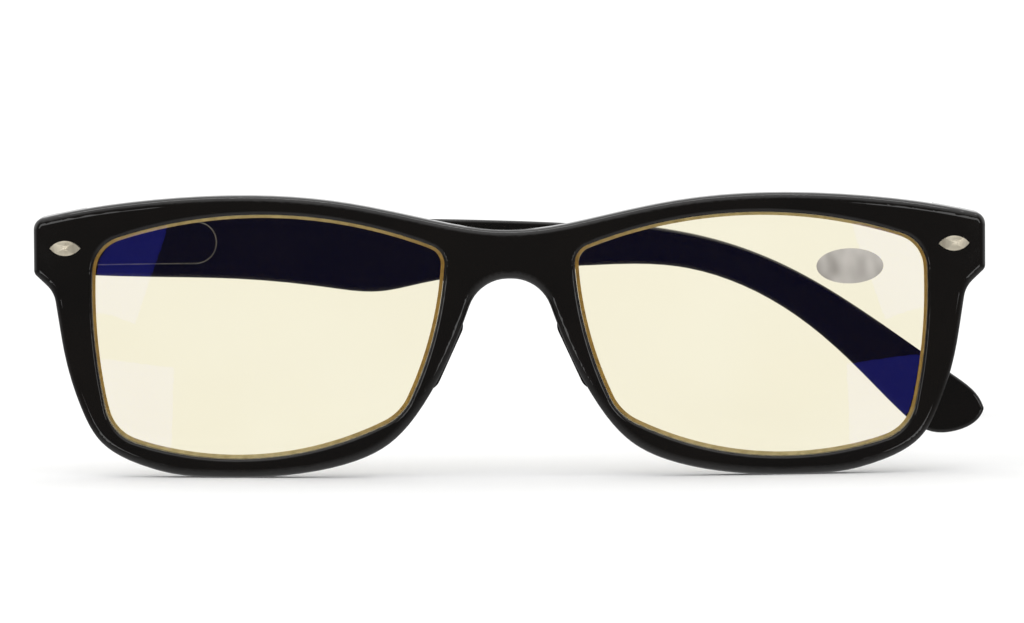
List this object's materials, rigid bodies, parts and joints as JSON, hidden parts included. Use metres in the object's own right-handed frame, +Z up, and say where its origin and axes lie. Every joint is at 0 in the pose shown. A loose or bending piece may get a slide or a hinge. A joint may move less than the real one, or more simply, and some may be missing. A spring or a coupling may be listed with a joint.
{
  "type": "blue light glasses",
  "caption": "Glossy black full-rim rectangular blue light reading glasses with pale yellow lenses, spring-hinged folding temples, pointed-oval silver rivets and an oval lens sticker.",
  "frame": {"origin": "under the middle of the bridge, on the plane the glasses stand on, level with the forward face of the bridge", "axes": "+Z up; the front faces -Y and stands upright; an open temple points along +Y and slopes down 2.35 degrees; +X is the wearer's left"},
  "size_m": [0.14, 0.1487, 0.0414],
  "materials": {
    "frame_plastic": "high-gloss black injection-moulded plastic",
    "lens_resin": "clear resin with a pale yellow blue-blocking tint and a blue-violet coating",
    "sticker_film": "thin translucent white adhesive film",
    "rivet_silver": "polished nickel-silver, slightly domed",
    "hinge_nickel": "satin nickel-silver",
    "screw_steel": "plain stainless steel"
  },
  "bodies": {
    "front": {"front_frame": "frame_plastic", "lens_left": "lens_resin", "lens_right": "lens_resin", "lens_sticker": "sticker_film", "front_rivet_left": "rivet_silver", "front_rivet_right": "rivet_silver", "front_leaf_left": "hinge_nickel", "front_leaf_right": "hinge_nickel", "hinge_screw_left": "screw_steel", "hinge_screw_right": "screw_steel"},
    "slider_left": {"hinge_slider_left": "hinge_nickel", "slider_collar_left": "hinge_nickel", "hinge_spring_left": "screw_steel"},
    "arm_left": {"hinge_housing_left": "hinge_nickel", "hinge_cover_left": "frame_plastic", "temple_left": "frame_plastic"},
    "slider_right": {"hinge_slider_right": "hinge_nickel", "slider_collar_right": "hinge_nickel", "hinge_spring_right": "screw_steel"},
    "arm_right": {"hinge_housing_right": "hinge_nickel", "hinge_cover_right": "frame_plastic", "temple_right": "frame_plastic"}
  },
  "joints": [
    {"name": "fold_left", "type": "hinge", "parent": "front", "child": "slider_left", "pos_m": [0.065, 0.015, 0.03365], "axis": [0, 0.041, 0.9992], "range_deg": [0, 86.5]},
    {"name": "fold_right", "type": "hinge", "parent": "front", "child": "slider_right", "pos_m": [-0.065, 0.015, 0.03365], "axis": [0, -0.041, -0.9992], "range_deg": [-91.2, 0]},
    {"name": "spring_left", "type": "slide", "parent": "slider_left", "child": "arm_left", "axis": [0, 0.9992, -0.041], "range_m": [0, 0.0012], "stiffness_N_per_m": 1500, "springref_m": -0.001, "deforming": ["hinge_spring_left"]},
    {"name": "spring_right", "type": "slide", "parent": "slider_right", "child": "arm_right", "axis": [0.9998, -0.0209, 0.0009], "range_m": [0, 0.0012], "stiffness_N_per_m": 1500, "springref_m": -0.001, "deforming": ["hinge_spring_right"]}
  ]
}
